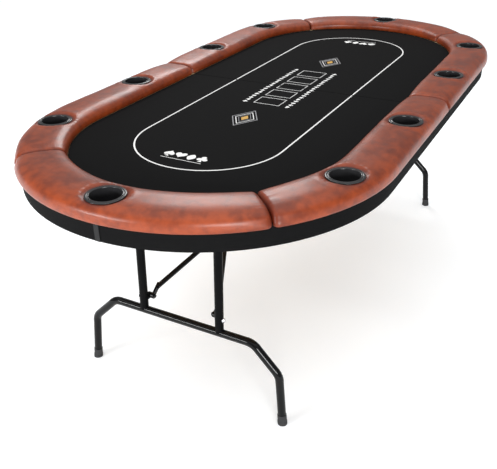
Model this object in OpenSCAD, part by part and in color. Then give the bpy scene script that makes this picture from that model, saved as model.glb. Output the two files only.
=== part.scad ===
// Fold-in-half ten-seat racetrack card table with two folding wishbone leg frames.
// Millimetres, +Z up. Origin: on the floor under the middle of the fold line.
// X runs along the table (near half at -X, far half at +X), Y across it.

/* [Table] */
// Overall length of the open table
table_length = 2134; // [1900:2:2400]
// Overall width of the table over the padded rail
table_width = 1067; // [1000:1:1180]
// Height of the padded rail above the floor
table_height = 762; // [720:2:800]

/* [Rail] */
// Width of the padded rail
rail_w = 141.5; // [130:0.5:150]
// How far the rail overhangs the apron
rail_over = 12.5; // [6:0.5:16]
// How far the padded edge of the rail hangs down beside the apron
rail_lip = 9; // [0:0.5:14]
// Angle round the end at which the end rail meets the side rails
seam_angle = 45; // [30:1:55]
// Open joint between neighbouring rails
seam_gap = 2; // [1:0.5:4]

/* [Cup holders] */
// Outside diameter of the cup holder flange
flange_d = 97; // [90:1:104]
// Inside diameter of the cup holder at its mouth
cup_d = 75; // [66:1:78]
// Inside depth of the cup holder
cup_depth = 60; // [40:1:64]
// Distance of the middle side cups from the fold line
cup_x = 250; // [170:1:330]
// Angle round the end of the outer side cups
cup_angle = 17.2; // [10:0.1:24]

/* [Legs] */
// Splay of each leg frame away from the table centre, degrees
leg_splay = 2.8; // [0:0.1:4]
// Distance of the feet from the fold line
foot_x = 765; // [750:1:800]
// Half the distance between the two feet of a frame
foot_y = 332; // [300:1:340]
// Half the distance between the two posts
post_y = 128.6; // [124:0.2:150]
// Height of the wishbone bar
bar_z = 244; // [225:1:260]
// Diameter of the wishbone tube
bar_d = 24; // [20:0.5:24]
// Diameter of the posts
post_d = 25.2; // [24.6:0.2:27]

/* [Output] */
// Which node to draw

/* [Hidden] */
$fn = 96;
nr_end = table_width / 2;              // outside radius of the racetrack ends
half_s = table_length / 2 - nr_end;    // half the straight side
z_top = table_height;
z_seat = z_top - 38;                   // underside of the padded rail
z_board = z_seat - 7;                  // top of the table board
z_under = z_board - 12;                // underside of the table board
z_skirt = z_seat - 57;                 // bottom edge of the apron
r_apron = nr_end - rail_over;
r_board = r_apron - 12;
r_rail = nr_end - rail_w;
r_cloth = r_rail - 1;
r_cup = nr_end - 67.8;                 // line the cup centres sit on
gap = 0.5;                             // half the open fold line

// Cup centres of the half at -X
CUPS = [
    [-cup_x, -r_cup], [-cup_x, r_cup],
    [-half_s - r_cup * sin(cup_angle), -r_cup * cos(cup_angle)],
    [-half_s - r_cup * sin(cup_angle), r_cup * cos(cup_angle)],
    [-half_s - r_cup, 0]
];

// Leg pivot, post length and brace points, in the XZ plane of the half at -X
piv_z = z_under - 30;
piv_x = -foot_x + piv_z * tan(leg_splay);
u_foot = piv_z / cos(leg_splay);
u_bar = (piv_z - bar_z) / cos(leg_splay);
u_pin = u_bar - 45.5;
w_pin = 14;
arm_d = 15;
arm_rise = 6.5;
arm_len = 300;
arm_tilt = 24;
link_d = 14;
bracket_z = piv_z + w_pin + arm_rise;
pin_x = piv_x - u_pin * sin(leg_splay) + w_pin * cos(leg_splay);
pin_z = piv_z - u_pin * cos(leg_splay) - w_pin * sin(leg_splay);
elbow_x = pin_x + arm_len * cos(arm_tilt) - arm_rise * sin(arm_tilt);
elbow_z = pin_z + arm_len * sin(arm_tilt) + arm_rise * cos(arm_tilt);
// the elbow swings from where it stands to where it lies when the leg is folded flat
lie_x = piv_x + u_pin + arm_len;
span = lie_x - elbow_x;
drop = bracket_z - elbow_z;
link_len = (span * span + drop * drop) / (2 * span);
brack_x = lie_x - link_len;
link_tilt = atan2(elbow_z - bracket_z, elbow_x - brack_x);

// Centre hinge: two pins, one under each half
hin_x = 8;
hin_z = z_skirt - 6;
HINGES = [-420, 0, 420];

// Centre slide bolts
bolt_y = 200;
bolt_z = z_under - 12;

// ---------- helpers ----------

// The far half is the near half turned half round
module far() { rotate([0, 0, 180]) children(); }

// A flat plate with the plan of the half at -X, out to radius r and up to x = -fold
module half_plan(r, fold = gap) {
    translate([-half_s, -r]) square([half_s - fold, 2 * r]);
    translate([-half_s, 0]) intersection() {
        circle(r = r, $fn = 180);
        translate([-2 * r, -r]) square([2 * r, 2 * r]);
    }
}

module plate(r, z0, z1, fold = gap) {
    translate([0, 0, z0]) linear_extrude(z1 - z0) half_plan(r, fold);
}

// A round bar along Y
module bar_y(x, y0, y1, z, r) {
    translate([x, y0, z]) rotate([-90, 0, 0]) cylinder(r = r, h = y1 - y0, $fn = 64);
}

// A round bar between two points
module rod(a, b, r) {
    d = b - a;
    len = norm(d);
    translate(a) rotate([0, acos(d[2] / len), atan2(d[1], d[0])])
        cylinder(r = r, h = len, $fn = 64);
}

// ---------- table top ----------

module well_holes(r, z0, z1) {
    for (c = CUPS) translate([c[0], c[1], z0]) cylinder(r = r, h = z1 - z0);
}

module board() {
    color("#b08d63") difference() {
        plate(r_board, z_under, z_board);
        well_holes(cup_d / 2 + 2.5, z_under - 1, z_board + 1);
    }
}

module rail_base() {
    color("#a98256") difference() {
        plate(r_board, z_board, z_seat);
        plate(r_rail + 4, z_board - 1, z_seat + 1, 0);
        well_holes(cup_d / 2 + 2.5, z_board - 1, z_seat + 1);
    }
}

module cloth() { color("#1c1c1c") plate(r_cloth, z_board, z_seat + 1); }

// Height of the widest point above the seat: low on the outer side, higher at the cloth
function shoulder(t) = t < 90 ? 2 : 9;

// Crowned section of the padded rail: flat underneath, rounded over the top, with a lip outside
function crown(t) = [
    r_rail + rail_w / 2 + (rail_w / 2) * sign(cos(t)) * pow(abs(cos(t)), 0.62),
    z_seat + shoulder(t) + (z_top - z_seat - shoulder(t)) * pow(abs(sin(t)), 0.8)
];

module rail_section() {
    polygon(concat([[r_rail + 4, z_seat], [r_apron + 2, z_seat], [r_apron + 2, z_seat - rail_lip],
        [nr_end - 5, z_seat - rail_lip], [nr_end - 1.2, z_seat - rail_lip + 4]],
        [for (t = [0:10:180]) crown(t)], [[r_rail + 1, z_seat + 3.5]]));
}

module straight_rail(x0, x1) {
    translate([x0, 0, 0]) rotate([90, 0, 90]) linear_extrude(x1 - x0) rail_section();
}

module rail_arc(a0, a1) {
    rotate([0, 0, a0]) rotate_extrude(angle = a1 - a0, $fn = 180) rail_section();
}

// A cup well with a flat seat for the flange
module rail_well(c) {
    translate([c[0], c[1], z_seat - 1]) cylinder(r = cup_d / 2 + 2.5, h = z_top - z_seat + 2);
    translate([c[0], c[1], z_top - 6.5]) cylinder(r = flange_d / 2 + 1, h = 10);
}

trim = asin(seam_gap / 2 / (nr_end - rail_w / 2));

module rail_end() {
    color("#a8502a") difference() {
        translate([-half_s, 0, 0])
            rail_arc(90 + seam_angle + trim, 270 - seam_angle - trim);
        rail_well(CUPS[4]);
    }
}

module rail_left() {
    color("#a8502a") difference() {
        union() {
            straight_rail(-half_s, -gap - 0.5);
            translate([-half_s, 0, 0]) rail_arc(90, 90 + seam_angle - trim);
        }
        rail_well(CUPS[1]);
        rail_well(CUPS[3]);
    }
}

module rail_right() { mirror([0, 1, 0]) rail_left(); }

module cup_section() {
    ri = cup_d / 2;
    ro = ri + 1.6;
    zt = z_top - 3.5;
    zb = zt - cup_depth;
    polygon([
        [0, zb - 2], [ro - 3.5, zb - 2], [ro - 1.5, zb], [ro, z_top - 6.5],
        [flange_d / 2, z_top - 6.5], [flange_d / 2, z_top - 5], [flange_d / 2 - 2, zt],
        [ri + 1.5, zt], [ri, zt - 1.5], [ri - 1.5, zb + 3], [ri - 4.5, zb], [0, zb]
    ]);
}

module cups() {
    color("#0c0c0e") for (c = CUPS)
        translate([c[0], c[1], 0]) rotate_extrude() cup_section();
}

// ---------- apron and underside ----------

module apron() {
    color("#1d1e20") difference() {
        plate(r_apron, z_skirt, z_seat);
        plate(r_board + 0.3, z_skirt - 1, z_seat + 1, 0);
    }
}

// Cover strip over the joint in the apron
module seam_strip() {
    color("#26272a") translate([-half_s, 0, z_skirt + 0.5]) rotate([0, 0, 180.3])
        rotate_extrude(angle = 1.5, $fn = 180)
            translate([r_apron + 0.1, 0]) square([1.6, 50]);
}

module cross_rail() {
    color("#a98256") difference() {
        translate([-18.5, -r_board + 0.5, z_skirt])
            cube([18, 2 * r_board - 1, z_under - z_skirt]);
        for (s = [-1, 1]) translate([-20, s * bolt_y, bolt_z]) rotate([0, 90, 0])
            cylinder(r = 5.6, h = 21, $fn = 48);
    }
}

module battens() {
    color("#a98256") {
        for (s = [-1, 1]) translate([-700, s * 374 - 9, z_under - 18])
            cube([678, 18, 18]);
        translate([-820, -300, z_under - 18]) cube([40, 600, 18]);
    }
}

// Bracket that carries one end of the pivot rod
module pivot_bracket(s) {
    difference() {
        union() {
            translate([piv_x - 24, s * 158 - 12, z_under - 3]) cube([48, 24, 3]);
            translate([piv_x - 13, s * 158 - 4, piv_z]) cube([26, 8, z_under - 3 - piv_z]);
            bar_y(piv_x, s * 158 - 4, s * 158 + 4, piv_z, 13);
        }
        bar_y(piv_x, s * 158 - 5, s * 158 + 5, piv_z, 8.05);
    }
}

module pivot_brackets() { color("#3a3b3e") for (s = [-1, 1]) pivot_bracket(s); }

// Two lugs and a cross pin for the upper link of the brace
module brace_bracket() {
    color("#3a3b3e") {
        difference() {
            translate([brack_x - 26, -22, z_under - 0.8]) cube([52, 44, 0.8]);
            translate([brack_x - 10, -7.5, z_under - 2]) cube([20, 15, 3]);
        }
        for (s = [-1, 1]) translate([brack_x - 9, s * 11 - 1.5, bracket_z - 9])
            cube([18, 3, z_under - 0.8 - bracket_z + 9]);
        bar_y(brack_x, -16, 16, bracket_z, 3.5);
    }
}

module hinge_leaves() {
    color("#8d9094") for (y = HINGES) difference() {
        union() {
            translate([-20.9, y - 20, z_skirt - 2.4]) cube([20.9 - hin_x, 40, 2.4]);
            translate([-20.9, y - 20, z_skirt - 2.4]) cube([2.4, 40, 34]);
            bar_y(-hin_x, y - 20, y + 20, hin_z, 5);
            translate([-hin_x - 5, y - 20, hin_z]) cube([5, 40, 5]);
        }
        bar_y(-hin_x, y - 21, y + 21, hin_z, 2.55);
    }
}

// Flat-headed screws: rail screws round the edge, then hinge leaves and brackets
module screw(x, y, z) { translate([x, y, z - 1.8]) cylinder(r = 4, h = 1.8, $fn = 24); }

module screws() {
    color("#9b9da0") {
        for (a = [-60:30:60]) if (a != 0)
            screw(-half_s - 440 * cos(a), 440 * sin(a), z_under);
        for (x = [-120, -400], s = [-1, 1]) screw(x, s * 440, z_under);
        for (y = HINGES, d = [-12, 12]) translate([-20.9, y + d, z_skirt + 22])
            rotate([0, -90, 0]) cylinder(r = 4, h = 1.8, $fn = 24);
        for (s = [-1, 1], d = [-19, 19]) screw(piv_x + d, s * 158, z_under - 3);
        for (s = [-1, 1], d = [-20, 20]) screw(brack_x + d, s * 12, z_under - 0.8);
    }
}

// ---------- centre hinge and slide bolts ----------

module hinge_links() {
    color("#8d9094") for (y = HINGES) {
        for (s = [-1, 1]) translate([0, y + s * 22.5 - 1.5, 0]) {
            bar_y(-hin_x, 0, 3, hin_z, 5);
            bar_y(hin_x, 0, 3, hin_z, 5);
            translate([-hin_x, 0, hin_z - 4.4]) cube([2 * hin_x, 3, 8.8]);
        }
        for (s = [-1, 1]) bar_y(s * hin_x, y - 21.5, y + 21.5, hin_z, 2.5);
    }
}

module bolt_guides() {
    color("#3a3b3e") for (s = [-1, 1], x = [-96, -29]) difference() {
        translate([x, s * bolt_y - 11, bolt_z - 8]) cube([9, 22, z_under - bolt_z + 8]);
        translate([x - 1, s * bolt_y, bolt_z]) rotate([0, 90, 0])
            cylinder(r = 5.06, h = 11, $fn = 48);
    }
}

module bolt_keepers() {
    color("#3a3b3e") for (s = [-1, 1]) difference() {
        translate([19, s * bolt_y - 11, bolt_z - 8]) cube([14, 22, z_under - bolt_z + 8]);
        translate([18, s * bolt_y, bolt_z]) rotate([0, 90, 0])
            cylinder(r = 5.6, h = 16, $fn = 48);
    }
}

module slide_bolt() {
    color("#8d9094") {
        translate([-130, 0, bolt_z]) rotate([0, 90, 0]) cylinder(r = 5, h = 128, $fn = 48);
        translate([-78, 0, bolt_z - 22]) cylinder(r = 3.5, h = 20, $fn = 32);
        translate([-78, 0, bolt_z - 25]) cylinder(r = 6, h = 7, $fn = 32);
    }
}

// ---------- leg frame, drawn straight down from the pivot and then splayed ----------

module leg_pose() {
    translate([piv_x, 0, piv_z]) rotate([0, leg_splay, 0]) children();
}

module pivot_rod() {
    color("#141416") leg_pose() {
        bar_y(0, -168, 168, 0, 8);
        for (s = [-1, 1]) bar_y(0, s * 168 - (s < 0 ? 5 : 0), s * 168 + (s < 0 ? 0 : 5), 0, 11);
    }
}

// Post with its pivot sleeve on top and the lug that takes the brace pin
module post(s) {
    color("#17181a") leg_pose() difference() {
        union() {
            translate([0, s * post_y, -u_bar + 2]) cylinder(d = post_d, h = u_bar - 2);
            bar_y(0, s * post_y - 13.5, s * post_y + 13.5, 0, 13.2);
            translate([0, s * (post_y - 11) - 4, -u_pin - 9]) cube([w_pin, 8, 18]);
            bar_y(w_pin, s * (post_y - 11) - 4, s * (post_y - 11) + 4, -u_pin, 9);
        }
        bar_y(0, s * post_y - 20, s * post_y + 20, 0, 8.02);
        bar_y(0, s * post_y - 20, s * post_y + 20, -u_bar, bar_d / 2 + 0.03);
        translate([-20, s * post_y - 20, -u_bar - 30]) cube([40, 40, 26]);
    }
}

// One bent tube in the YZ plane: level, then a diagonal, then down to the foot
bend_r = 45;
P1 = [235, -u_bar];
P2 = [foot_y - 14.5, -u_foot + 162];
P3 = [foot_y, -u_foot + 4];

function unit(v) = v / norm(v);
function heading(v) = atan2(v[1], v[0]);

// Straight run of tube that reaches a little way into the bend at each end
module tube_leg(a, b, ta, tb) {
    d = unit(b - a);
    p = a + d * (ta - 0.4);
    q = b - d * max(tb - 0.4, 0);
    rod([0, p[0], p[1]], [0, q[0], q[1]], bar_d / 2);
}

// Bend at corner b between directions of b-a and c-b, turning clockwise
module tube_bend(a, b, c) {
    h0 = heading(b - a);
    turn = h0 - heading(c - b);
    t = bend_r * tan(turn / 2);
    s = b - unit(b - a) * t;
    ctr = s + bend_r * [sin(h0), -cos(h0)];
    translate([0, ctr[0], ctr[1]]) rotate([90, 0, 90]) rotate([0, 0, 90 + h0 - turn])
        rotate_extrude(angle = turn) translate([bend_r, 0]) circle(d = bar_d + 0.4, $fn = 64);
}

function setback(a, b, c) = bend_r * tan((heading(b - a) - heading(c - b)) / 2);

P0 = [0, -u_bar];
t1 = setback(P0, P1, P2);
t2 = setback(P1, P2, P3);

module bar_end() {
    tube_bend(P0, P1, P2);
    tube_leg(P1, P2, t1, t2);
    tube_bend(P1, P2, P3);
    tube_leg(P2, P3, t2, 0);
}

module foot_bar() {
    color("#0e0e10") leg_pose() {
        bar_y(0, t1 - P1[0] - 0.4, P1[0] - t1 + 0.4, -u_bar, bar_d / 2);
        bar_end();
        mirror([0, 1, 0]) bar_end();
    }
}

// Rubber cap over the end of the tube, cut level with the floor
module foot_cap() {
    d = unit(P3 - P2);
    top = P3 - d * 28;
    low = P3 + d * 12;
    difference() {
        leg_pose() difference() {
            union() {
                rod([0, top[0], top[1]], [0, low[0], low[1]], bar_d / 2 + 1.3);
                rod([0, P3[0] - d[0] * 6, P3[1] - d[1] * 6], [0, low[0], low[1]], bar_d / 2 + 2.2);
            }
            rod([0, top[0] - d[0], top[1] - d[1]], [0, P3[0], P3[1]], bar_d / 2 + 0.03);
        }
        translate([-foot_x - 60, foot_y - 60, -40]) cube([120, 120, 40]);
    }
}

module foot_caps() {
    color("#2b2b2d") {
        foot_cap();
        mirror([0, 1, 0]) foot_cap();
    }
}

// Bolt heads on the outer faces of the posts, level with the brace pins
module post_bolts() {
    color("#b9bbbd") leg_pose() for (s = [-1, 1]) {
        y = s * (post_y + post_d / 2 - 1.2);
        translate([0, y, -u_pin]) rotate([-90 * s, 0, 0]) {
            translate([0, 0, 1.25]) cylinder(r = 7, h = 1.2, $fn = 32);
            translate([0, 0, 2.4]) cylinder(r = 5.6, h = 4, $fn = 6);
        }
    }
}

// ---------- brace ----------

module brace_pose() { translate([pin_x, 0, pin_z]) rotate([0, -arm_tilt, 0]) children(); }

// One arm: a tube with a flattened end at each pin. The lower end kicks up so that
// the tube passes clear over the foot bar when the frame is folded.
module brace_arm() {
    y0 = post_y - 24.1;
    y1 = 17;
    kick = atan2(arm_rise, 32);
    difference() {
        union() {
            rod([28, y0, arm_rise], [252, y1, arm_rise], arm_d / 2);
            translate([0, y0, 0]) rotate([0, -kick, 0]) translate([0, -3, -7])
                cube([42, 6, 14]);
            bar_y(0, y0 - 4, y0 + 8, 0, 8.8);
            translate([234, y1 - 3, arm_rise - 7]) cube([arm_len - 234, 6, 14]);
            bar_y(arm_len, y1 - 4, y1 + 4, arm_rise, 8.5);
        }
        bar_y(arm_len, y1 - 9, y1 + 9, arm_rise, 3.52);
    }
    // head of the pin on the inner side of the arm
    translate([0, y0 - 4, 0]) rotate([90, 0, 0]) cylinder(r = 5.6, h = 4, $fn = 6);
}

module v_brace() {
    color("#141416") brace_pose() {
        brace_arm();
        mirror([0, 1, 0]) brace_arm();
    }
}

module elbow_pin() {
    color("#b9bbbd") brace_pose() {
        bar_y(arm_len, -21.2, 21.2, arm_rise, 3.5);
        for (s = [-1, 1]) translate([arm_len, s * 21.1, arm_rise]) rotate([-90 * s, 0, 0])
            cylinder(r = 6, h = 3.5, $fn = 32);
    }
}

module upper_link() {
    color("#141416") translate([brack_x, 0, bracket_z]) rotate([0, -link_tilt, 0]) difference() {
        union() {
            rod([4, 0, 0], [link_len - 4, 0, 0], link_d / 2);
            for (x = [0, link_len]) bar_y(x, -8.5, 8.5, 0, 8.5);
        }
        for (x = [0, link_len]) bar_y(x, -12, 12, 0, 3.55);
    }
}

// ---------- nodes ----------

board();  // board_near
far() board();  // board_far
rail_base();  // rail_base_near
far() rail_base();  // rail_base_far
cloth();  // cloth_near
far() cloth();  // cloth_far
rail_end();  // rail_end_near
rail_right();  // rail_right_near
rail_left();  // rail_left_near
far() rail_end();  // rail_end_far
far() rail_left();  // rail_right_far
far() rail_right();  // rail_left_far
cups();  // cups_near
far() cups();  // cups_far
apron();  // apron_near
far() apron();  // apron_far
seam_strip();  // seam_strip_near
far() seam_strip();  // seam_strip_far
cross_rail();  // cross_rail_near
far() cross_rail();  // cross_rail_far
battens();  // battens_near
far() battens();  // battens_far
pivot_brackets();  // pivot_brackets_near
far() pivot_brackets();  // pivot_brackets_far
brace_bracket();  // brace_bracket_near
far() brace_bracket();  // brace_bracket_far
hinge_leaves();  // hinge_leaves_near
far() hinge_leaves();  // hinge_leaves_far
screws();  // screws_near
far() screws();  // screws_far
bolt_guides();
bolt_keepers();
hinge_links();
translate([0, -bolt_y, 0]) slide_bolt();  // slide_bolt_right
translate([0, bolt_y, 0]) slide_bolt();  // slide_bolt_left
pivot_rod();  // pivot_rod_near
post(-1);  // post_right_near
post(1);  // post_left_near
foot_bar();  // foot_bar_near
foot_caps();  // foot_caps_near
post_bolts();  // post_bolts_near
v_brace();  // v_brace_near
elbow_pin();  // elbow_pin_near
upper_link();  // upper_link_near
far() pivot_rod();  // pivot_rod_far
far() post(1);  // post_right_far
far() post(-1);  // post_left_far
far() foot_bar();  // foot_bar_far
far() foot_caps();  // foot_caps_far
far() post_bolts();  // post_bolts_far
far() v_brace();  // v_brace_far
far() elbow_pin();  // elbow_pin_far
far() upper_link();  // upper_link_far
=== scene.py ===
# %% [markdown]
# # A folding racetrack card table
# The frame, the legs, the hinges and the bolts come from a CAD model that is already exact, so they
# are loaded and only given better finishes. The soft pieces are made here: six padded leather
# rails, two stretched cloths on foam, and the print on them. The cup holders are turned here too,
# because their rims catch the light. Everything is in metres, with the origin on the floor under
# the middle of the fold.

import math

import bpy
import numpy as np
from mathutils import Matrix, Vector, noise


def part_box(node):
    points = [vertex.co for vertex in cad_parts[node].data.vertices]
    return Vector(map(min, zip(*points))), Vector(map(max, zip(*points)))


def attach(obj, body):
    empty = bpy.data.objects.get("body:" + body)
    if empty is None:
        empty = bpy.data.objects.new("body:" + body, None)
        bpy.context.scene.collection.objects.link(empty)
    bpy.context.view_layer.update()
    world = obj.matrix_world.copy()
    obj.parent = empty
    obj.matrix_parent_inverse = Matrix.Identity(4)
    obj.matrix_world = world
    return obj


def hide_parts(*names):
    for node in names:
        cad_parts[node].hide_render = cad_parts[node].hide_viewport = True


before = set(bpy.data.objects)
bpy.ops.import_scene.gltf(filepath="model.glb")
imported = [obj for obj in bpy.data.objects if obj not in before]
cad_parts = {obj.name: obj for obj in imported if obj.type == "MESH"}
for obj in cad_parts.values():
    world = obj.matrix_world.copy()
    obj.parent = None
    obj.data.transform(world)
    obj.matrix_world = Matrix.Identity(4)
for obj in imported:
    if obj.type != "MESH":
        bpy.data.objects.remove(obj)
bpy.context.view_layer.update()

# %% [markdown]
# ## Measures
# A maker starts from the carcass: how wide the rail is, where it sits and how high it rises. All of
# that can be read from the boxes of the frame's nodes, so nothing has to be typed twice.

# %% Read the main measures from the frame
rail_low, rail_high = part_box("rail_left_near")
cloth_low, cloth_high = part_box("cloth_near")
cups_low, cups_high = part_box("cups_near")
OUTER = rail_high.y                                  # outside radius of the rounded ends
SPINE = -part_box("rail_end_near")[0].x - OUTER        # half the straight side
SEAT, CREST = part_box("apron_near")[1].z, rail_high.z # seat and top of the padded rail
LIP = rail_low.z                                     # how low its edge hangs beside the apron
APRON_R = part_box("apron_near")[1].y
CLOTH_R, CLOTH_TOP, BOARD_TOP = cloth_high.y, cloth_high.z, cloth_low.z
INNER = CLOTH_R + 0.001
MIDDLE, HALF_WIDTH = (OUTER + INNER) / 2, (OUTER - INNER) / 2
FLANGE = 0.0485                                      # radius of a cup holder's rim
CUP_LINE = cups_high.y - FLANGE
CUP_TOP, CUP_BASE = cups_high.z, cups_low.z
FOLD_GAP = 0.001                                     # from the fold line to the rails of a half
SIDES = 96                                           # corners round a well or a cup holder
print(f"ends of radius {OUTER:.4f}, straight side {2 * SPINE:.3f}, rail {1000 * (CREST - SEAT):.0f} mm high")

# %% Where the five cup holders of a half sit
MIDDLE_CUP = 0.25                # distance of the middle cups from the fold
LEAN = math.radians(17.2)        # angle round the end of the outer cups
CUPS = {
    "right": [(-MIDDLE_CUP, -CUP_LINE), (-SPINE - CUP_LINE * math.sin(LEAN), -CUP_LINE * math.cos(LEAN))],
    "left": [(-MIDDLE_CUP, CUP_LINE), (-SPINE - CUP_LINE * math.sin(LEAN), CUP_LINE * math.cos(LEAN))],
    "end": [(-SPINE - CUP_LINE, 0.0)],
}
print("cup centres:", {side: [tuple(round(v, 4) for v in c) for c in at] for side, at in CUPS.items()})


# %% [markdown]
# ## Shader sums
# A finish is a small piece of arithmetic: so much of this tone, so much of that grain. Wiring every
# Math node by hand hides the sum, so one small class wraps a socket and lets it be added and
# multiplied like a number. Colours go through Mix, because a Math node would turn them grey.

# %% A socket that can be used in a sum
class Wire:
    """One output of a shader node. a + b, 1 - a and a * 2 add Math nodes."""

    def __init__(self, finish, socket):
        self.finish, self.socket = finish, socket

    def maths(self, operation, *values):
        return self.finish.add("ShaderNodeMath", {"operation": operation}, dict(enumerate(values)))

    def __add__(self, other):
        return self.maths("ADD", self, other)

    def __sub__(self, other):
        return self.maths("SUBTRACT", self, other)

    def __rsub__(self, other):
        return self.maths("SUBTRACT", other, self)

    def __mul__(self, other):
        return self.maths("MULTIPLY", self, other)

    __radd__, __rmul__ = __add__, __mul__


# %% A finish and its nodes
class Finish:
    """A material: uniform values sit on the shader's own sockets, and add() makes any node."""

    def __init__(self, name, **values):
        self.material = bpy.data.materials.new(name)
        self.material.use_nodes = True
        self.tree = self.material.node_tree
        self.shader = self.tree.nodes["Principled BSDF"]
        for socket, value in values.items():
            self.shader.inputs[socket.replace("_", " ")].default_value = value
        self.place = self.add("ShaderNodeTexCoord", out="Object")

    def add(self, kind, settings=None, inputs=None, out=0):
        node = self.tree.nodes.new(kind)
        for name, value in (settings or {}).items():
            setattr(node, name, value)
        for name, value in (inputs or {}).items():
            if isinstance(value, Wire):
                self.tree.links.new(value.socket, node.inputs[name])
            else:
                node.inputs[name].default_value = value
        return Wire(self, node.outputs[out])

    def stretched(self, x, y, z):
        return self.add("ShaderNodeVectorMath", {"operation": "MULTIPLY"}, {0: self.place, 1: (x, y, z)})

    def noise(self, scale, detail=3.0, place=None):
        return self.add("ShaderNodeTexNoise", {},
                        {"Vector": place or self.place, "Scale": scale, "Detail": detail})

    def cells(self, scale, feature="F1"):
        return self.add("ShaderNodeTexVoronoi", {"feature": feature},
                        {"Vector": self.place, "Scale": scale})

    def waves(self, axis, scale, warp=0.0, detail=2.0, place=None):
        return self.add(
            "ShaderNodeTexWave", {"bands_direction": axis},
            {"Vector": place or self.place, "Scale": scale, "Distortion": warp, "Detail": detail},
            out="Fac",
        )

    def mask(self, value, low, high):
        return self.add("ShaderNodeMapRange", {"interpolation_type": "SMOOTHSTEP"},
                        {"Value": value, "From Min": low, "From Max": high})

    def mix(self, factor, first, second):
        return self.add("ShaderNodeMix", {"data_type": "RGBA"}, {0: factor, 6: first, 7: second}, out=2)

    def vary(self, **sockets):
        for name, wire in sockets.items():
            self.tree.links.new(wire.socket, self.shader.inputs[name.replace("_", " ")])

    def relief(self, height, depth, strength=1.0):
        self.vary(Normal=self.add("ShaderNodeBump", {},
                                  {"Height": height, "Distance": depth, "Strength": strength}))


def tint(red, green, blue):
    """A colour with full alpha."""
    return (red, green, blue, 1.0)


# %% [markdown]
# ## Finishes of the padded rail and the cloth
# The rail is covered in red-brown vinyl leather: an even dye over a printed grain, with painted
# shade round the cups, in the seams and along the hem, and a soft gloss. The grain is a field of
# small cells, which the Voronoi texture gives. The cloth is a dull black weave, so it reflects very
# little: two crossing waves make the threads.

# %% Leather
leather = Finish("red_brown_leather", IOR=1.5, Coat_Roughness=0.22, Specular_IOR_Level=0.30)
patches, mottle = leather.noise(9, 3), leather.noise(48, 5)
crease_shade = leather.add("ShaderNodeAttribute", {"attribute_name": "shade_mask"}, out="Fac")
burnish = leather.mask(patches * 0.5 + mottle * 0.5, 0.32, 0.66)
dye = leather.mix(burnish, tint(0.145, 0.021, 0.005), tint(0.290, 0.047, 0.009))
# painted shade: the dye darkens to a deep brown round the cups, in the seams and along the hem
leather.vary(
    Base_Color=leather.mix(crease_shade * 0.75, dye, tint(0.085, 0.010, 0.005)),
    Roughness=mottle * 0.14 + crease_shade * 0.08 + 0.30,
    Coat_Weight=0.20 - crease_shade * 0.12,
)
grain = leather.cells(620, "DISTANCE_TO_EDGE")
leather.relief(leather.mask(grain, 0.0, 0.22) * 0.7 + leather.noise(260, 4) * 0.3, 0.00012, 0.6)
print(leather.material.name, "has", len(leather.tree.nodes), "nodes")

# %% Cloth, and the ink printed on it
THREADS = 260        # scale of the weave


def weave(finish):
    """Two crossing waves, as the threads of a cloth."""
    return finish.waves("X", THREADS, 0.6) * 0.5 + finish.waves("Y", THREADS, 0.6) * 0.5


cloth = Finish("black_speed_cloth", Specular_IOR_Level=0.05)
threads = weave(cloth)
lint = cloth.noise(38, 5)
cloth.vary(
    Base_Color=cloth.mix(threads * 0.5 + lint * 0.5,
                         tint(0.0036, 0.0036, 0.0038), tint(0.0095, 0.0095, 0.0098)),
    Roughness=lint * 0.1 + 0.84,
)
cloth.relief(threads, 0.0001, 0.5)


def ink(name, thin, full):
    """Ink in a weave: a little thinner in the valleys between threads."""
    made = Finish(name, Specular_IOR_Level=0.25)
    valleys = weave(made)
    made.vary(
        Base_Color=made.mix(valleys * 0.5 + made.noise(90) * 0.5, thin, full),
        Roughness=valleys * 0.1 + 0.62,
    )
    made.relief(valleys, 0.00008, 0.4)
    return made


white_ink = ink("white_print", tint(0.78, 0.78, 0.77), tint(0.96, 0.96, 0.95))
grey_ink = ink("grey_print", tint(0.20, 0.20, 0.21), tint(0.34, 0.34, 0.35))
gold_ink = ink("gold_print", tint(0.42, 0.22, 0.04), tint(0.75, 0.45, 0.10))
print("cloth and inks:", [f.material.name for f in (cloth, white_ink, grey_ink, gold_ink)])

# %% Foam under the cloth
foam = Finish("black_foam", Specular_IOR_Level=0.2)
pores = foam.cells(900)
foam.vary(
    Base_Color=foam.mix(pores, tint(0.008, 0.008, 0.009), tint(0.022, 0.022, 0.024)),
    Roughness=pores * 0.1 + 0.85,
)
foam.relief(pores, 0.0002)
print(foam.material.name, "has", len(foam.tree.nodes), "nodes")

# %% [markdown]
# ## Finishes of the hard pieces
# Powder coat has a faint orange-peel waviness that only shows in its reflections. Moulded plastic is
# smoother with a few rub marks. Plywood shows long grain on its faces and thin plies on its edges,
# and a mask on the direction of the face chooses between the two.


# %% Painted, moulded and plated finishes
def painted(name, dark, light, rough, peel=180, coat=0.0, sheen=0.06):
    """A coat of paint or a moulded skin: a few rub marks over a fine waviness."""
    made = Finish(name, Coat_Roughness=0.08, Specular_IOR_Level=sheen)
    rub, skin = made.noise(14, 4), made.noise(peel, 2)
    made.vary(
        Base_Color=made.mix(rub, dark, light),
        Roughness=rub * 0.12 + rough,
        Coat_Weight=rub * 0.06 + coat,
    )
    made.relief(skin, 0.00006, 0.5)
    return made


DEEP, WORN = tint(0.0015, 0.0015, 0.0017), tint(0.004, 0.004, 0.0044)
tube = painted("gloss_black_powder_coat", DEEP, WORN, 0.07, sheen=0.2)
post = painted("satin_black_powder_coat", DEEP, WORN, 0.24, sheen=0.04)
bracket = painted("dark_pressed_steel", tint(0.012, 0.012, 0.014), tint(0.030, 0.030, 0.033), 0.34, sheen=0.3)
plastic = painted("black_moulded_plastic", tint(0.014, 0.014, 0.015), tint(0.028, 0.028, 0.030), 0.14,
                  peel=420, coat=0.06, sheen=0.25)
print("coats:", [f.material.name for f in (tube, post, bracket, plastic)])

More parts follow.
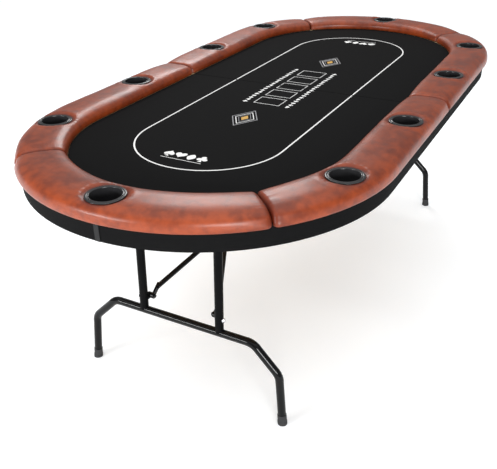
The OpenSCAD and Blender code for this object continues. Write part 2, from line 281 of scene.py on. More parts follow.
# %% Zinc, rubber and trim
zinc = Finish("zinc_plate", Metallic=1.0)
spangle, brushed = zinc.cells(160), zinc.noise(60, 5, zinc.stretched(1, 9, 1))
zinc.vary(
    Base_Color=zinc.mix(spangle * 0.5 + brushed * 0.5, tint(0.42, 0.43, 0.45), tint(0.74, 0.75, 0.77)),
    Roughness=brushed * 0.2 + 0.24,
)
zinc.relief(brushed, 0.00004, 0.4)

rubber = Finish("dark_grey_rubber", Specular_IOR_Level=0.3)
scuffs = rubber.noise(120, 5)
rubber.vary(
    Base_Color=rubber.mix(scuffs, tint(0.014, 0.014, 0.015), tint(0.042, 0.042, 0.044)),
    Roughness=scuffs * 0.2 + 0.55,
)
rubber.relief(scuffs, 0.0002, 0.5)

trim = Finish("dark_cover_strip", Specular_IOR_Level=0.25)
ribs = trim.waves("Z", 120, 0.3)
trim.vary(
    Base_Color=trim.mix(ribs, tint(0.005, 0.005, 0.0053), tint(0.012, 0.012, 0.0125)),
    Roughness=ribs * 0.1 + 0.5,
)
trim.relief(ribs, 0.0001, 0.4)
print("fittings:", [f.material.name for f in (zinc, rubber, trim)])

# %% Woven covering of the apron
apron = Finish("black_woven_covering", Specular_IOR_Level=0.05)
upright = apron.noise(1, 2, apron.stretched(900, 900, 60))
level = apron.waves("Z", 300, 0.5)
slubs = apron.noise(30, 5, apron.stretched(1, 1, 6))
apron.vary(
    Base_Color=apron.mix(upright * 0.4 + slubs * 0.6,
                         tint(0.0024, 0.0024, 0.0026), tint(0.0075, 0.0075, 0.0077)),
    Roughness=slubs * 0.15 + 0.66,
)
apron.relief(upright * 0.5 + level * 0.5, 0.0002, 0.5)
print(apron.material.name, "has", len(apron.tree.nodes), "nodes")


# %% Wood
def wood(name, pale, dark, plies):
    """Long grain on faces that look up or down, and layers on the others."""
    made = Finish(name, Specular_IOR_Level=0.3)
    figure = made.waves("Y", 5, 7.0, 4.0, made.stretched(0.35, 4, 4))
    fibres = made.noise(40, 5, made.stretched(1, 26, 26))
    face = made.mix(figure * 0.5 + fibres * 0.5, pale, dark)
    up = made.add("ShaderNodeSeparateXYZ", {}, {0: made.add("ShaderNodeNewGeometry", out="Normal")}, out="Z")
    edge = 1 - made.mask(up.maths("ABSOLUTE", up), 0.4, 0.7)
    layers = made.mask(made.waves("Z", plies), 0.35, 0.65)
    sides = made.mix(layers * 0.7 + fibres * 0.3, pale, dark)
    made.vary(Base_Color=made.mix(edge, face, sides), Roughness=fibres * 0.2 + 0.55)
    made.relief(fibres * 0.7 + layers * 0.3, 0.00025, 0.5)
    return made


plywood = wood("birch_plywood", tint(0.56, 0.39, 0.22), tint(0.36, 0.22, 0.11), 66)
timber = wood("softwood", tint(0.55, 0.36, 0.18), tint(0.34, 0.19, 0.08), 9)
print("woods:", [f.material.name for f in (plywood, timber)])

# %% Dress the nodes of the frame
FINISHES = {
    "board": plywood, "rail_base": plywood, "cross_rail": timber, "battens": timber,
    "apron": apron, "seam_strip": trim, "pivot_brackets": bracket, "brace_bracket": bracket,
    "bolt_guides": bracket, "bolt_keepers": bracket, "hinge_leaves": zinc, "hinge_links": zinc,
    "slide_bolt": zinc, "screws": zinc, "post_bolts": zinc, "elbow_pin": zinc,
    "pivot_rod": tube, "foot_bar": tube, "v_brace": tube, "upper_link": tube,
    "post_right": post, "post_left": post, "foot_caps": rubber, "cups": plastic,
    "rail": leather, "cloth": cloth,
}


def finish_for(node):
    """The finish whose name is the longest start of the node's name."""
    return FINISHES[max((key for key in FINISHES if node.startswith(key)), key=len)]


for name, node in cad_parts.items():
    node.data.materials.clear()
    node.data.materials.append(finish_for(name).material)
finishes_used = {f.material.name for f in FINISHES.values()}
print("dressed", len(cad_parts), "nodes in", len(finishes_used), "finishes")


# %% [markdown]
# ## Making pieces
# Every soft piece is made for the half at -X and then copied to the other half by turning it half
# round, because the two halves of the table are the same. A helper makes the object, moves it by a
# matrix and puts it on its body.

# %% Turn a list of corners and faces into a piece
TURN = Matrix.Rotation(math.pi, 4, "Z")
MIRROR = Matrix.Scale(-1, 4, Vector((0, 1, 0)))
ENDS = {"near": Matrix.Identity(4), "far": TURN}


def make_piece(name, corners, faces, finish, body, smooth=True, move=None):
    """A mesh object in the table's own frame. A mirrored move has its faces turned back out."""
    mesh = bpy.data.meshes.new(name)
    mesh.from_pydata([tuple(c) for c in corners], [], faces)
    if move is not None:
        mesh.transform(move)
        if move.determinant() < 0:
            mesh.flip_normals()
    mesh.validate()
    mesh.polygons.foreach_set("use_smooth", [smooth] * len(mesh.polygons))
    mesh.materials.append(finish.material)
    piece = bpy.data.objects.new(name, mesh)
    bpy.context.scene.collection.objects.link(piece)
    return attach(piece, body)


def walls(rows, around):
    """Faces between rings of corners that follow one another."""
    return [
        (i * around + j, i * around + (j + 1) % around,
         (i + 1) * around + (j + 1) % around, (i + 1) * around + j)
        for i in range(rows - 1) for j in range(around)
    ]


def grid_faces(rows, around, cap_start, cap_end):
    """Faces of a closed tube of rings, with a fan to one corner at each end."""
    faces = walls(rows, around)
    last = (rows - 1) * around
    faces += [(cap_start, (j + 1) % around, j) for j in range(around)]
    faces += [(cap_end, last + j, last + (j + 1) % around) for j in range(around)]
    return faces


# %% [markdown]
# ## Padded rail
# Each rail is foam on a board, with leather pulled over it and stapled underneath. That gives a
# crowned section, round ends where two rails meet, a low hollow where the cup holder's rim presses
# it, and shallow waves where the foam is uneven. A cloth simulation could inflate it, but a sweep
# keeps the racetrack line exact, so the section is swept in code and then moved point by point,
# the way a sculptor would. The section comes first.


# %% Section of the rail
SHOULDER = 0.0095    # height of the widest part above the seat, beside the cloth
BELLY = 0.0010       # the same on the outside, where the cover hangs lower


def bow(angle):
    """A point on the rounded top of the section: broad and full."""
    c, s = math.cos(angle), math.sin(angle)
    low = BELLY if c > 0 else SHOULDER
    return (MIDDLE + HALF_WIDTH * math.copysign(abs(c) ** 0.60, c),
            SEAT + low + (CREST - SEAT - low) * abs(s) ** 0.82)


def evenly(points, count):
    """The same open line through points at even spacing."""
    line = np.array(points)
    run = np.concatenate([[0], np.cumsum(np.linalg.norm(np.diff(line, axis=0), axis=1))])
    at = np.linspace(0, run[-1], count)
    return np.stack([np.interp(at, run, line[:, k]) for k in (0, 1)], axis=1)


over = evenly([bow(math.pi * k / 720) for k in range(721)], 76)
# underneath: a small turn at the cloth, a flat seat, a step at the apron and a padded lip
under = evenly(
    [(INNER, SEAT + SHOULDER), (INNER + 0.0002, SEAT + 0.0050), (INNER + 0.0010, SEAT + 0.0020),
     (INNER + 0.0028, SEAT + 0.0003), (INNER + 0.0060, SEAT + 0.0001), (APRON_R + 0.0006, SEAT + 0.0001),
     (APRON_R + 0.0023, SEAT - 0.0012), (APRON_R + 0.0024, LIP + 0.0018), (APRON_R + 0.0036, LIP + 0.0003),
     (APRON_R + 0.0060, LIP), (OUTER - 0.0034, LIP + 0.0010), (OUTER - 0.0014, LIP + 0.0032),
     (OUTER - 0.0004, LIP + 0.0062), (OUTER, SEAT + BELLY)], 56)[1:-1]
SECTION = np.concatenate([over, under])
ahead = np.roll(SECTION, -1, axis=0) - np.roll(SECTION, 1, axis=0)
OUTWARD = np.stack([ahead[:, 1], -ahead[:, 0]], axis=1) / np.linalg.norm(ahead, axis=1)[:, None]
section_high = float(over[:, 1].max() - under[:, 1].min())
print("section of", len(SECTION), "points,", round(1000 * section_high, 1), "mm high")


# %% Lines the rails follow
def side_line(run):
    """Centre, outward direction at a distance along the left side, from the fold to the seam."""
    straight = SPINE - FOLD_GAP
    if run < straight:
        return (-FOLD_GAP - run, 0.0), (0.0, 1.0)
    turned = math.pi / 2 + (run - straight) / MIDDLE
    return (-SPINE, 0.0), (math.cos(turned), math.sin(turned))


SEAM = math.radians(45)          # angle round the end where two rails meet
HALF_GAP = 0.001 / MIDDLE        # half the gap there, as an angle
SIDE_RUN = SPINE - FOLD_GAP + (SEAM - HALF_GAP) * MIDDLE
END_RUN = 2 * (math.pi / 2 - SEAM - HALF_GAP) * MIDDLE


def end_line(run):
    """The same for the rail round the end, from one seam to the other."""
    turned = math.pi / 2 + SEAM + HALF_GAP + run / MIDDLE
    return (-SPINE, 0.0), (math.cos(turned), math.sin(turned))


print(f"side rail {SIDE_RUN:.3f} m long, end rail {END_RUN:.3f} m")


# %% Hills and hollows of the cover
def ease(value, low, high):
    """0 below low, 1 above high and a smooth step between."""
    t = min(max((value - low) / (high - low), 0.0), 1.0)
    return t * t * (3 - 2 * t)


ROUND = 0.013                        # radius of the padded end of a rail
SEAM_DIP, SEAM_REACH = 0.0020, 0.028 # the cover is pulled in hard right beside a seam
DROOP, DROOP_REACH = 0.0045, 0.075   # and sinks gently over a longer way
CUP_SEAT = CUP_TOP - 0.0034          # height of the leather under a cup's rim
PRESSED_R, FREE_R = 0.0490, 0.0610   # the hollow round a cup starts and ends here
BULGE, BULGE_R = 0.0007, 0.067       # the foam swells a little just outside it


def shaped(point, outward, to_end, centre, away, cups, seed):
    """Where one point of the section goes: drawn in at the ends, hollow at cups, uneven elsewhere."""
    inset = ROUND - math.sqrt(max(ROUND**2 - max(ROUND - to_end, 0.0) ** 2, 0.0))
    r = MIDDLE + (point[0] - MIDDLE) * (1 - inset / HALF_WIDTH)
    z = SEAT + (point[1] - SEAT) * (1 - inset / (CREST - SEAT))
    soft = ease(point[1], LIP + 0.002, SEAT + 0.016)
    here = Vector((centre[0] + r * away[0], centre[1] + r * away[1], z + seed))
    swell = 0.0011 * noise.noise(here * 6.5) + 0.0005 * noise.noise(here * 19)
    near_seam = math.exp(-((to_end / SEAM_REACH) ** 2))
    gathers = noise.noise(Vector((point[0] * 120 + seed, to_end * 9, point[1] * 60)))
    swell += near_seam * (0.0005 * gathers - SEAM_DIP) - DROOP * math.exp(-((to_end / DROOP_REACH) ** 2))
    r += outward[0] * swell * soft
    z += outward[1] * swell * soft
    x, y = centre[0] + r * away[0], centre[1] + r * away[1]
    for cup_x, cup_y in cups:
        reach = math.hypot(x - cup_x, y - cup_y)
        if reach < 0.095 and point[1] > SEAT + 0.012:
            edge = math.exp(-(((reach - 0.060) / 0.006) ** 2))
            pucker = 0.0003 * math.sin(23 * math.atan2(y - cup_y, x - cup_x)) * edge
            bulge = BULGE * math.exp(-(((reach - BULGE_R) / 0.008) ** 2))
            z += (CUP_SEAT - z) * (1 - ease(reach, PRESSED_R, FREE_R)) + bulge + pucker
    return x, y, z


print(f"the leather sits at {1000 * CUP_SEAT:.1f} mm under a cup's rim")


# %% Sweep the section along a line
RING_STEP = 0.0036               # distance between the rings of a rail


def sweep_rail(line, run, cups, seed):
    """Corners and faces of one rail: closely spaced rings, closer still round the two ends."""
    curl = [ROUND * (1 - math.cos(math.pi / 2 * k / 7)) for k in range(7)]
    steps = np.linspace(ROUND, run - ROUND, int(run / RING_STEP))
    runs = curl + list(steps) + [run - c for c in reversed(curl)]
    corners = []
    for at in runs:
        centre, away = line(at)
        to_end = min(at, run - at)
        corners += [shaped(p, o, to_end, centre, away, cups, seed) for p, o in zip(SECTION, OUTWARD)]
    for at in (0.0, run):
        (cx, cy), (ax, ay) = line(at)
        corners.append((cx + MIDDLE * ax, cy + MIDDLE * ay, (SEAT + CREST) / 2))
    faces = grid_faces(len(runs), len(SECTION), len(corners) - 2, len(corners) - 1)
    return corners, faces


# %% [markdown]
# ### Wells for the cups
# The cup passes through a round hole in the rail. A Boolean with one cylinder for each cup cuts it
# cleanly, and the cut edge ends up under the cup's rim where nobody sees it.


# %% Drill the wells
WELL_R = 0.0402                  # radius of the hole that a cup passes through


def circle(centre, radius, z):
    """Corners round an upright axis at one height."""
    return [
        (centre[0] + radius * math.cos(2 * math.pi * k / SIDES),
         centre[1] + radius * math.sin(2 * math.pi * k / SIDES), z)
        for k in range(SIDES)
    ]


def columns(centres, radius, low, high):
    """Corners and faces of upright cylinders at the centres."""
    corners, faces = [], []
    for centre in centres:
        start = len(corners)
        corners += circle(centre, radius, low) + circle(centre, radius, high)
        faces += [tuple(start + k for k in face) for face in walls(2, SIDES)]
        faces += [tuple(start + SIDES - 1 - k for k in range(SIDES)),
                  tuple(start + SIDES + k for k in range(SIDES))]
    return corners, faces


def drill(corners, faces, centres):
    """The mesh with a well through it at each centre."""
    solid, cutter = bpy.data.meshes.new("solid"), bpy.data.meshes.new("cutter")
    solid.from_pydata(corners, [], faces)
    wells, sides = columns(centres, WELL_R, SEAT - 0.02, CREST + 0.02)
    cutter.from_pydata(wells, [], sides)
    body, tool = bpy.data.objects.new("solid", solid), bpy.data.objects.new("cutter", cutter)
    for o in (body, tool):
        bpy.context.scene.collection.objects.link(o)
    cut = body.modifiers.new("wells", "BOOLEAN")
    cut.operation, cut.solver, cut.object = "DIFFERENCE", "EXACT", tool
    bpy.context.view_layer.update()
    made = bpy.data.meshes.new_from_object(body.evaluated_get(bpy.context.evaluated_depsgraph_get()))
    result = [tuple(v.co) for v in made.vertices], [tuple(p.vertices) for p in made.polygons]
    for o in (body, tool):
        bpy.data.objects.remove(o)
    return result


# %% Mark where shade is painted on the cover
def beside(v, seam):
    """Distance of a corner from a seam, or 1 where it lies behind the seam's start."""
    (x, y), along = seam
    to = Vector((v.co.x - x, v.co.y - y))
    return abs(to.cross(Vector(along))) if to.dot(Vector(along)) > 0 else 1.0


def mark_painted_shade(piece, cups, seams):
    """Stores where shade is painted on the leather: round each cup's rim, down into the seams and along the
    hem.
    """
    values = []
    for v in piece.data.vertices:
        reach = min(math.hypot(v.co.x - x, v.co.y - y) for x, y in cups)
        # painted shade: full inside a cup's rim and fading just outside it, in the seams, and half along the
        # lower hem
        rim = math.exp(-(((reach - 0.0500) / 0.0065) ** 2)) if reach > 0.05 else 1.0
        seam = math.exp(-((min(beside(v, s) for s in seams) / 0.006) ** 2))
        hem = 1 - ease(v.co.z, LIP + 0.0005, LIP + 0.0050)
        values.append(min(1.0, 0.9 * rim + 0.9 * seam + 0.5 * hem))
    piece.data.attributes.new("shade_mask", "FLOAT", "POINT").data.foreach_set("value", values)


# %% Make the six rails
def seam_at(angle, x=-SPINE):
    """A seam as the point it starts from and its direction."""
    return (x, 0.0), (math.cos(angle), math.sin(angle))


SEAMS = [seam_at(math.pi / 2 + SEAM), seam_at(1.5 * math.pi - SEAM),
         seam_at(math.pi / 2, 0), seam_at(-math.pi / 2, 0)]
RAIL_SHAPES = {
    "left": (side_line, SIDE_RUN, CUPS["left"], None),
    "right": (side_line, SIDE_RUN, CUPS["left"], MIRROR),
    "end": (end_line, END_RUN, CUPS["end"], None),
}
ACROSS = {"left": "right", "right": "left", "end": "end"}
seed = 0.0
for side, (line, run, cups, flip) in RAIL_SHAPES.items():
    for end, turn in ENDS.items():
        seed += 3.7
        corners, faces = drill(*sweep_rail(line, run, cups, seed), cups)
        piece = make_piece(f"leather_{side}_{end}", corners, faces, leather, f"{end}_half",
                           move=turn @ flip if flip else turn)
        centres = [turn @ Vector((x, y, 0)) for x, y in CUPS[side]]
        seams = SEAMS if end == "near" else [((-x, -y), (-u, -v)) for (x, y), (u, v) in SEAMS]
        mark_painted_shade(piece, [(c.x, c.y) for c in centres], seams)
        # the far half is the near half turned round, so what was its left side lies on the right
        node = f"rail_{side if end == 'near' else ACROSS[side]}_{end}"
        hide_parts(node)
        print(piece.name, "stands for", node, "with", len(piece.data.polygons), "faces")

# %% [markdown]
# ## Playing surface
# A sheet of speed cloth is stretched over thin foam and tucked down at the fold and under the rail.
# The sheet is one outline copied at a few heights: flat on top, rounded over its edge and turned
# down the side of the foam. A simulation would only add sag that a stretched cloth hasn't got.


# %% Outline of a half
BEND = 90            # steps round the end


def half_outline(radius, fold):
    """Points round the half at -X: the fold's edge, and the straight sides and round end at a radius."""
    points = [(-fold, -radius * k / 12) for k in range(-12, 13)]
    points += [(-fold + (-SPINE + fold) * k / 24, -radius) for k in range(1, 24)]
    points += [
        (-SPINE - radius * math.sin(math.pi * k / BEND), -radius * math.cos(math.pi * k / BEND))
        for k in range(BEND + 1)
    ]
    return points + [(-SPINE + (SPINE - fold) * k / 24, radius) for k in range(1, 24)]


def stacked(outlines):
    """Corners and faces of outlines one inside or above another, closed at both ends."""
    count = len(outlines[0][1])
    corners = [(x, y, z) for z, outline in outlines for x, y in outline]
    faces = walls(len(outlines), count)
    faces += [tuple(reversed(range(count))), tuple((len(outlines) - 1) * count + j for j in range(count))]
    return corners, faces


# %% Rings of the cloth
TUCK = 0.0024        # how far the cloth runs under the rail's lower edge
CLOTH_THICK = 0.0009
SHEET_R = CLOTH_R + TUCK
over_edge = [
    (BOARD_TOP + 0.0008, half_outline(SHEET_R - 0.0006, 0.0006)),
    (CLOTH_TOP - 0.0022, half_outline(SHEET_R, 0.0006)),
    (CLOTH_TOP - 0.0010, half_outline(SHEET_R - 0.0003, 0.0009)),
    (CLOTH_TOP - 0.0003, half_outline(SHEET_R - 0.0010, 0.0016)),
    (CLOTH_TOP, half_outline(SHEET_R - 0.0018, 0.0028)),
]
inside = [
    (CLOTH_TOP - CLOTH_THICK, half_outline(SHEET_R - 0.0026, 0.0032)),
    (CLOTH_TOP - CLOTH_THICK - 0.0012, half_outline(SHEET_R - CLOTH_THICK, 0.0006 + CLOTH_THICK)),
    (BOARD_TOP + 0.0008, half_outline(SHEET_R - 0.0006 - CLOTH_THICK, 0.0006 + CLOTH_THICK)),
]
corners, faces = stacked(over_edge[::-1] + inside[::-1])
faces = [face[::-1] for face in faces]   # these rings start at the top, so the faces are turned out

# %% Cloth and foam of each half
pad_outline = half_outline(CLOTH_R - 0.001, 0.0022)
for end, turn in ENDS.items():
    top = make_piece(f"speed_cloth_{end}", corners, faces, cloth, f"{end}_half", smooth=False, move=turn)
    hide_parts(f"cloth_{end}")
    pad = make_piece(f"foam_{end}", *stacked([(BOARD_TOP, pad_outline), (CLOTH_TOP - 0.0011, pad_outline)]),
                     foam, f"{end}_half", smooth=False, move=turn)
    print(top.name, "has", len(top.data.polygons), "faces and lies on", pad.name)

# %% [markdown]
# ## Print
# The print is a betting line, a row of card boxes between two rows of card suits, and at each end a
# nest of lozenges and a group of suits. It could be painted in the shader, but then its edges would
# be only as sharp as a baked image. Each shape is a thin film that is half sunk in the cloth, so it
# stays sharp in any view and moves with its half. Suits are plain geometric outlines.

# %% Films of ink
INK_LOW, INK_HIGH = CLOTH_TOP - 0.00015, CLOTH_TOP + 0.00012
print(f"a film of ink is {1000 * (INK_HIGH - INK_LOW):.2f} mm thick")


def ribbon(path, width, closed=False):
    """Corners and faces of a line of ink that follows the path with square corners kept sharp."""
    points = [Vector(p) for p in path]
    count = len(points)
    left, right = [], []
    for i, p in enumerate(points):
        before = points[i - 1] if i or closed else None
        after = points[(i + 1) % count] if i < count - 1 or closed else None
        a = (p - before).normalized() if before is not None else (after - p).normalized()
        b = (after - p).normalized() if after is not None else a
        across = Vector((-(a + b).y, (a + b).x)).normalized()
        reach = width / 2 / max(across.dot(Vector((-a.y, a.x))), 0.35)
        left.append(p + across * reach)
        right.append(p - across * reach)
    corners = [(v.x, v.y, z) for z in (INK_LOW, INK_HIGH) for side in (left, right) for v in side]
    faces = []
    for i in range(count if closed else count - 1):
        j = (i + 1) % count
        faces += [
            (i, j, count + j, count + i),
            (2 * count + j, 2 * count + i, 3 * count + i, 3 * count + j),
            (j, i, 2 * count + i, 2 * count + j),
            (count + i, count + j, 3 * count + j, 3 * count + i),
        ]
    if not closed:
        last = count - 1
        faces += [(0, count, 3 * count, 2 * count), (last, 2 * count + last, 3 * count + last, count + last)]
    return corners, faces


def patch(outline):
    """Corners and faces of a filled shape. The outline runs anticlockwise."""
    count = len(outline)
    corners = [(x, y, z) for z in (INK_LOW, INK_HIGH) for x, y in outline]
    faces = [(j, (j + 1) % count, count + (j + 1) % count, count + j) for j in range(count)]
    return corners, faces + [tuple(reversed(range(count))), tuple(range(count, 2 * count))]


# %% Outlines of the four suits, one unit high
def heart():
    return [
        (0.031 * 16 * -math.sin(t) ** 3,
         0.031 * (13 * math.cos(t) - 5 * math.cos(2 * t) - 2 * math.cos(3 * t) - math.cos(4 * t)) + 0.08)
        for t in (2 * math.pi * k / 40 for k in range(40))
    ]


def diamond():
    return [
        (0.36 * math.copysign(abs(math.cos(t)) ** 1.35, math.cos(t)),
         0.5 * math.copysign(abs(math.sin(t)) ** 1.35, math.sin(t)))
        for t in (2 * math.pi * k / 32 for k in range(32))
    ]


def stem(low):
    """The foot under a spade or a club, from its left side round to its right."""
    return [(-0.045, low), (-0.07, -0.33), (-0.19, -0.5), (0.19, -0.5), (0.07, -0.33), (0.045, low)]


def spade():
    leaf = [(-x * 0.92, -y * 0.92 + 0.12) for x, y in heart()]
    return leaf[2:-1] + [(-x, y) for x, y in reversed(stem(-0.13))]


def lobe(x, y, start, stop, radius=0.215):
    """One leaf of a club, between two angles in degrees."""
    angles = [math.radians(start + (stop - start) * k / 14) for k in range(15)]
    return [(x + radius * math.cos(a), y + radius * math.sin(a)) for a in angles]


def club():
    upper, left = lobe(0.0, 0.285, -38, 218), lobe(-0.245, -0.06, 68, 322)
    return upper + left + stem(-0.17) + lobe(0.245, -0.06, 218, 472)


SUITS = [spade, heart, club, diamond]
print("suits:", [suit.__name__ for suit in SUITS])


# %% Lay the print of one half
def placed(outline, x, y, size, turn):
    """An outline moved onto the cloth and turned by a number of quarter turns."""
    c, s = [(1, 0), (0, 1), (-1, 0), (0, -1)][turn % 4]
    return [(x + size * (c * u - s * v), y + size * (s * u + c * v)) for u, v in outline]


def lozenge(long, wide):
    """A plain diamond, longer along the table than across it."""
    return [(MOTIF_X + long, 0.0), (MOTIF_X, wide), (MOTIF_X - long, 0.0), (MOTIF_X, -wide)]


def mirrored(path):
    """The path, and then the same again on the other side of the table's middle."""
    return path + [(x, -y) for x, y in reversed(path)]


EDGE = 0.0034        # the print stops this far from the fold
LINE_R = 0.2164      # radius of the betting line
BOLD, FINE = 0.0046, 0.0022
BOX_X, BOX_Y = 0.031, 0.044          # half the size of a card box
MOTIF_X, GROUP_X = -0.342, -0.670    # places of the lozenges and of the group of suits
SUIT, PITCH, ROW_Y = 0.0165, 0.0208, 0.0755
BIG_SUIT = 0.034

betting = [(-EDGE, LINE_R), (-SPINE / 2, LINE_R)]
betting += [(-SPINE - LINE_R * math.sin(math.pi * k / 64), LINE_R * math.cos(math.pi * k / 64))
            for k in range(65)]
betting += [(-SPINE / 2, -LINE_R), (-EDGE, -LINE_R)]
white = [ribbon(betting, BOLD), ribbon(mirrored([(-EDGE, BOX_Y), (-BOX_X, BOX_Y)]), FINE)]
for x in (-0.168, -0.084):
    box = [(x - BOX_X, -BOX_Y), (x + BOX_X, -BOX_Y), (x + BOX_X, BOX_Y), (x - BOX_X, BOX_Y)]
    white.append(ribbon(box, FINE, closed=True))
for k in range(10):
    x = -0.0105 - PITCH * k
    white.append(patch(placed(SUITS[k % 4](), x, -ROW_Y, SUIT, 0)))
    white.append(patch(placed(SUITS[(k + 1) % 4](), x, ROW_Y, SUIT, 2)))
for k, suit in enumerate((spade, heart, diamond, club)):
    white.append(patch(placed(suit(), GROUP_X, 0.051 - BIG_SUIT * k, BIG_SUIT, 3)))
white.append(ribbon([(GROUP_X - 0.027, 0.062), (GROUP_X - 0.027, -0.062)], 0.0018))
white.append(ribbon(lozenge(0.052, 0.031), 0.0024, closed=True))
grey = [ribbon(lozenge(0.070, 0.042), 0.0030, closed=True),
        ribbon(lozenge(0.036, 0.021), 0.0018, closed=True)]
gold = [patch(lozenge(0.021, 0.012))]
print("print of a half:", len(white), "white shapes,", len(grey), "grey and", len(gold), "gold")


# %% Join the films and put them on both halves
def gathered(shapes):
    """One list of corners and faces from several shapes."""
    corners, faces = [], []
    for some, theirs in shapes:
        faces += [tuple(len(corners) + i for i in face) for face in theirs]
        corners += some
    return corners, faces


FILMS = {"white": (white, white_ink), "grey": (grey, grey_ink), "gold": (gold, gold_ink)}
for end, turn in ENDS.items():
    for name, (shapes, colour) in FILMS.items():
        film = make_piece(f"{name}_print_{end}", *gathered(shapes), colour, f"{end}_half",
                          smooth=False, move=turn)
        print(film.name, "has", len(film.data.polygons), "faces")

# %% [markdown]
# ## Cup holders
# A cup holder is moulded in black plastic with a broad rim that rests on the leather. It is round, so
# its outline is turned about its axis, as on a lathe. Small radii on every corner catch the light.

# %% Turn a cup holder
WALL = 0.0375        # inside radius at the mouth
CUP_FLOOR = CUP_BASE + 0.002
PROFILE = [
    # underneath, and up the outside of the wall
    (0.0, CUP_BASE), (WALL - 0.0060, CUP_BASE), (WALL - 0.0030, CUP_BASE + 0.0004),
    (WALL - 0.0008, CUP_BASE + 0.0022), (WALL + 0.0012, CUP_BASE + 0.020),
    (WALL + 0.0016, CUP_TOP - 0.0036), (WALL + 0.0022, CUP_TOP - 0.0030),
    # round the edge of the rim
    (FLANGE - 0.0010, CUP_TOP - 0.0030), (FLANGE - 0.0002, CUP_TOP - 0.0026),
    (FLANGE, CUP_TOP - 0.0018), (FLANGE - 0.0003, CUP_TOP - 0.0011),
    (FLANGE - 0.0012, CUP_TOP - 0.0004), (FLANGE - 0.0026, CUP_TOP - 0.0001),
    # over the rim, with a shallow groove and a rounded lip
    (WALL + 0.0062, CUP_TOP + 0.0001), (WALL + 0.0054, CUP_TOP - 0.0002),
    (WALL + 0.0048, CUP_TOP - 0.0006), (WALL + 0.0042, CUP_TOP - 0.0002),
    (WALL + 0.0034, CUP_TOP + 0.0004), (WALL + 0.0016, CUP_TOP + 0.0004),
    (WALL + 0.0006, CUP_TOP + 0.0001), (WALL, CUP_TOP - 0.0008), (WALL - 0.0001, CUP_TOP - 0.0030),
    # down the inside, and over the floor with a raised ring
    (WALL - 0.0013, CUP_FLOOR + 0.0060), (WALL - 0.0020, CUP_FLOOR + 0.0026),
    (WALL - 0.0040, CUP_FLOOR + 0.0006), (WALL - 0.0070, CUP_FLOOR), (0.0240, CUP_FLOOR),
    (0.0232, CUP_FLOOR + 0.0005), (0.0216, CUP_FLOOR + 0.0005), (0.0208, CUP_FLOOR), (0.0, CUP_FLOOR),
]


def turned(profile, centre):
    """Corners and faces of the profile turned about an upright axis."""
    rings = profile[1:-1]
    corners = [corner for r, z in rings for corner in circle(centre, r, z)]
    corners += [(centre[0], centre[1], profile[0][1]), (centre[0], centre[1], profile[-1][1])]
    return corners, grid_faces(len(rings), SIDES, len(corners) - 2, len(corners) - 1)


wells = [centre for side in CUPS.values() for centre in side]
for end, turn in ENDS.items():
    cups = make_piece(f"cup_holders_{end}", *gathered([turned(PROFILE, c) for c in wells]), plastic,
                      f"{end}_half", move=turn)
    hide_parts(f"cups_{end}")
print("turned", 2 * len(wells), "cup holders")

# %% [markdown]
# ## Stage
# A pale floor, soft walls and a wide bright ceiling, as in a white studio. Two low lamps in front, to
# the right and the left, bring out the colour of the rail's side, and one above and behind lays a
# sheen along its top.

# %% Floor
REACH = 30           # half the width of the floor
floor_finish = Finish("pale_floor", Specular_IOR_Level=0.0,
                      Emission_Color=tint(0.70, 0.86, 1.0), Emission_Strength=0.23)
dust = floor_finish.noise(0.6, 2)
floor_finish.vary(
    Base_Color=floor_finish.mix(dust, tint(0.92, 0.92, 0.92), tint(0.94, 0.94, 0.94)),
    Roughness=dust * 0.05 + 0.9,
)
mesh = bpy.data.meshes.new("floor")
mesh.from_pydata([(-REACH, -REACH, 0), (REACH, -REACH, 0), (REACH, REACH, 0), (-REACH, REACH, 0)],
                 [], [(0, 1, 2, 3)])
mesh.materials.append(floor_finish.material)
floor = bpy.data.objects.new("floor", mesh)
bpy.context.scene.collection.objects.link(floor)
print("floor", 2 * REACH, "m wide")

# %% Light from all round
# how bright the room is at a height: soft walls, and a wide bright ceiling that shades the floor
# under the table
GLOW = ((0.22, 0.22), (0.60, 0.22), (0.90, 1.0))
world = bpy.data.worlds.new("studio")
world.use_nodes = True
tree, room = world.node_tree, world.node_tree.nodes["Background"]
coords, split, ramp, wall, ray, pick = (
    tree.nodes.new("ShaderNode" + kind)
    for kind in ("TexCoord", "SeparateXYZ", "ValToRGB", "Background", "LightPath", "MixShader")
)
ramp.color_ramp.elements.new(0.62)
for stop, (height, light) in zip(ramp.color_ramp.elements, GLOW):
    stop.position, stop.color = height, tint(light, light, light)
room.inputs["Strength"].default_value = 1.62
tree.links.new(coords.outputs["Generated"], split.inputs[0])
tree.links.new(split.outputs["Z"], ramp.inputs[0])
tree.links.new(ramp.outputs[0], room.inputs["Color"])
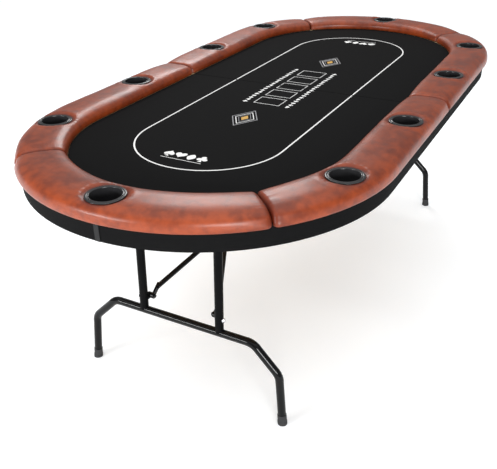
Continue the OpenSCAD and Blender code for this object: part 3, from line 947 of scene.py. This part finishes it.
# seen directly, beyond the floor, the room is plain white
wall.inputs["Color"].default_value = tint(1.0, 1.0, 1.0)
tree.links.new(ray.outputs["Is Camera Ray"], pick.inputs["Fac"])
tree.links.new(room.outputs[0], pick.inputs[1])
tree.links.new(wall.outputs[0], pick.inputs[2])
tree.links.new(pick.outputs[0], tree.nodes["World Output"].inputs["Surface"])
bpy.context.scene.world = world
bpy.context.scene.view_settings.view_transform = "Standard"
print("world of", len(tree.nodes), "nodes")


# %% Lamps
def soft_lamp(name, place, aim, wide, high, power):
    """A flat lamp that faces a point."""
    lamp = bpy.data.lights.new(name, "AREA")
    lamp.shape, lamp.size, lamp.size_y, lamp.energy = "RECTANGLE", wide, high, power
    o = bpy.data.objects.new(name, lamp)
    o.location = place
    o.rotation_euler = (Vector(aim) - Vector(place)).to_track_quat("-Z", "Y").to_euler()
    bpy.context.scene.collection.objects.link(o)
    print(name, "of", power, "W")


soft_lamp("right_lamp", (-4.0, -2.9, 1.6), (-0.4, 0.0, 0.7), wide=2.0, high=0.8, power=135)
soft_lamp("left_lamp", (-3.9, 1.7, 1.35), (-0.8, 0.0, 0.6), wide=1.8, high=0.3, power=80)
soft_lamp("back_lamp", (2.4, 1.75, 2.55), (-0.6, 0.0, 0.7), wide=1.3, high=0.8, power=32)

# %% [markdown]
# ## Camera
# The table is seen from its near end and a little to its right, from above standing height. The
# camera is rolled a little, so its three directions are given as they are and not as a target.

# %% Camera
PLACE = (-2.03494, -0.92675, 1.40955)
ALONG, UP, BACK = (0.46906, -0.88297, -0.01860), (0.44152, 0.21621, 0.87081), (-0.76488, -0.41668, 0.49126)
camera = bpy.data.cameras.new("camera")
camera.sensor_width, camera.lens = 36.0, 48.45
camera.clip_end = 100
seer = bpy.data.objects.new("camera", camera)
seer.matrix_world = Matrix.Translation(PLACE) @ Matrix((ALONG, UP, BACK)).transposed().to_4x4()
bpy.context.scene.collection.objects.link(seer)
bpy.context.scene.camera = seer
print("camera", round(Vector(PLACE).length, 2), "m from the middle of the fold")
